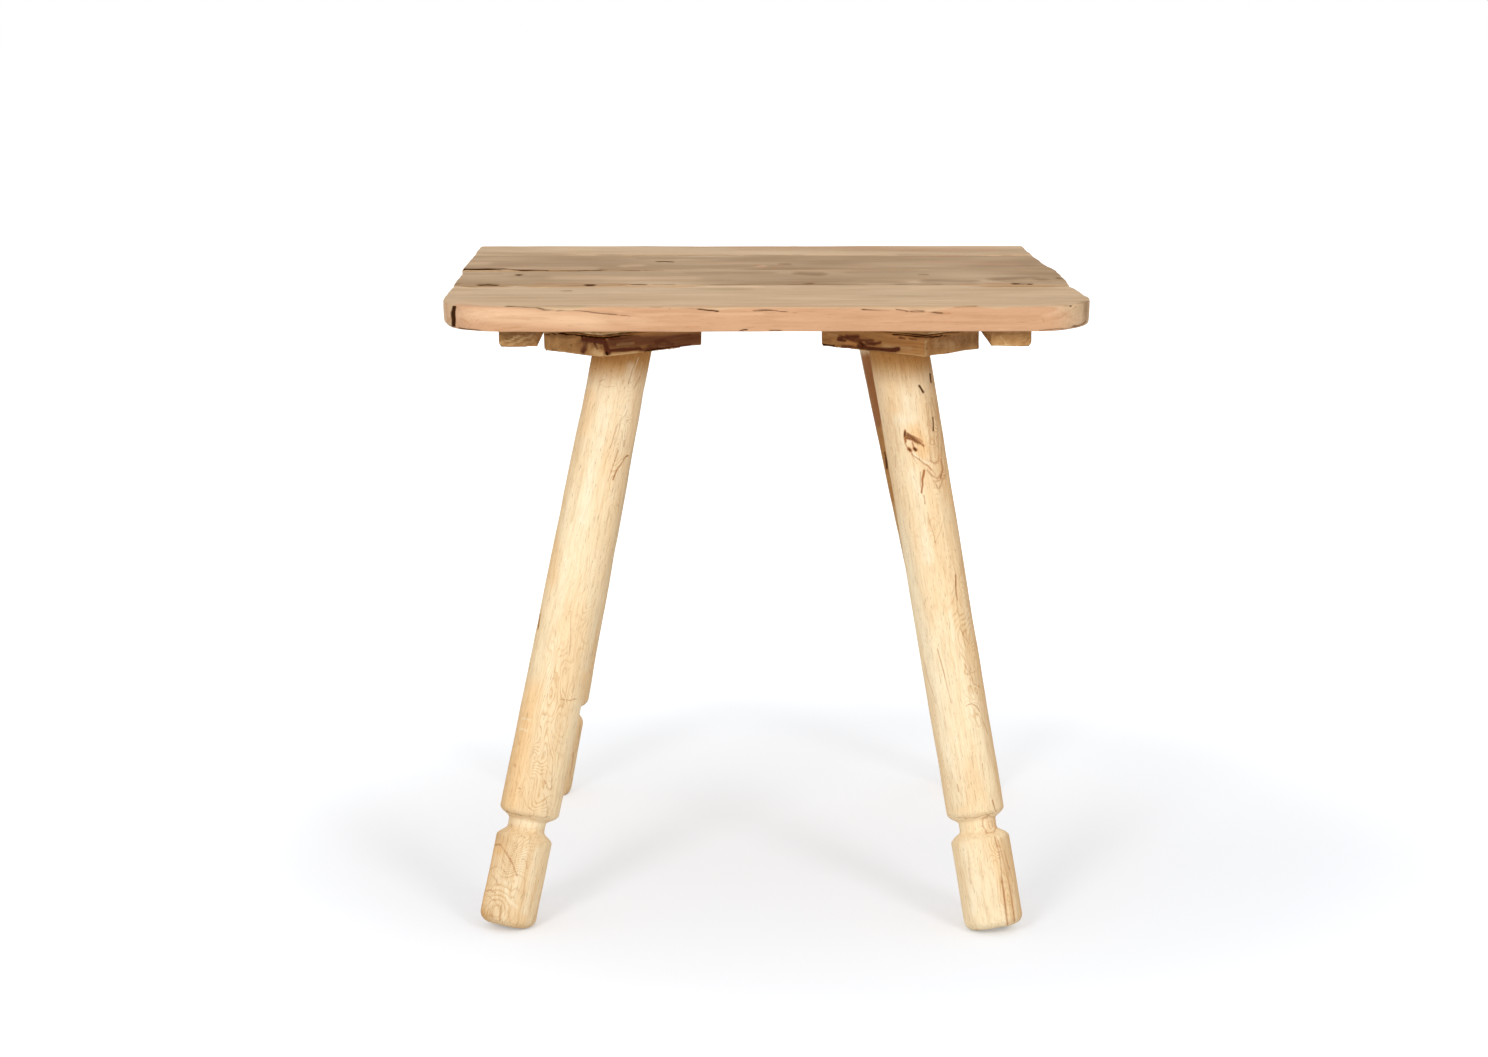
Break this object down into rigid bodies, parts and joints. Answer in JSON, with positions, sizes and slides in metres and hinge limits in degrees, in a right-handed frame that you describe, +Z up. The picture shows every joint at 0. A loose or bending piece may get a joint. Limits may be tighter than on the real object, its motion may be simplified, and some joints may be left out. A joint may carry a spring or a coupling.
{
  "type": "side table",
  "caption": "Rustic side table with a reclaimed plank top on battens and splayed round peeled-wood legs that have a turned groove near the foot.",
  "frame": {"origin": "on the floor, under the middle of the top", "axes": "+Z up; +X to the right, along the planks; the front, with the rounded corners, faces -Y"},
  "size_m": [0.616, 0.616, 0.61],
  "materials": {
    "plank_wood": "sanded reclaimed softwood, matt",
    "batten_wood": "sawn softwood, oiled, matt",
    "block_wood": "dark streaked softwood, oiled, matt",
    "leg_wood": "peeled pale softwood, clear satin",
    "screw_steel": "plain zinc-plated steel"
  },
  "bodies": {
    "root": {"front_left_block_screw_1": "screw_steel", "front_left_block_screw_2": "screw_steel", "front_left_block_screw_3": "screw_steel", "front_left_block_screw_4": "screw_steel", "front_left_leg": "leg_wood", "front_left_leg_block": "block_wood", "front_left_leg_pad": "plank_wood", "front_plank": "plank_wood", "front_right_block_screw_1": "screw_steel", "front_right_block_screw_2": "screw_steel", "front_right_block_screw_3": "screw_steel", "front_right_block_screw_4": "screw_steel", "front_right_leg": "leg_wood", "front_right_leg_block": "block_wood", "front_right_leg_pad": "plank_wood", "left_batten": "batten_wood", "left_batten_screw_1": "screw_steel", "left_batten_screw_2": "screw_steel", "left_batten_screw_3": "screw_steel", "left_batten_screw_4": "screw_steel", "middle_plank": "plank_wood", "rear_left_block_screw_1": "screw_steel", "rear_left_block_screw_2": "screw_steel", "rear_left_block_screw_3": "screw_steel", "rear_left_block_screw_4": "screw_steel", "rear_left_leg": "leg_wood", "rear_left_leg_block": "block_wood", "rear_left_leg_pad": "plank_wood", "rear_plank": "plank_wood", "rear_right_block_screw_1": "screw_steel", "rear_right_block_screw_2": "screw_steel", "rear_right_block_screw_3": "screw_steel", "rear_right_block_screw_4": "screw_steel", "rear_right_leg": "leg_wood", "rear_right_leg_block": "block_wood", "rear_right_leg_pad": "plank_wood", "rear_strip": "plank_wood", "right_batten": "batten_wood", "right_batten_screw_1": "screw_steel", "right_batten_screw_2": "screw_steel", "right_batten_screw_3": "screw_steel", "right_batten_screw_4": "screw_steel"}
  },
  "joints": []
}
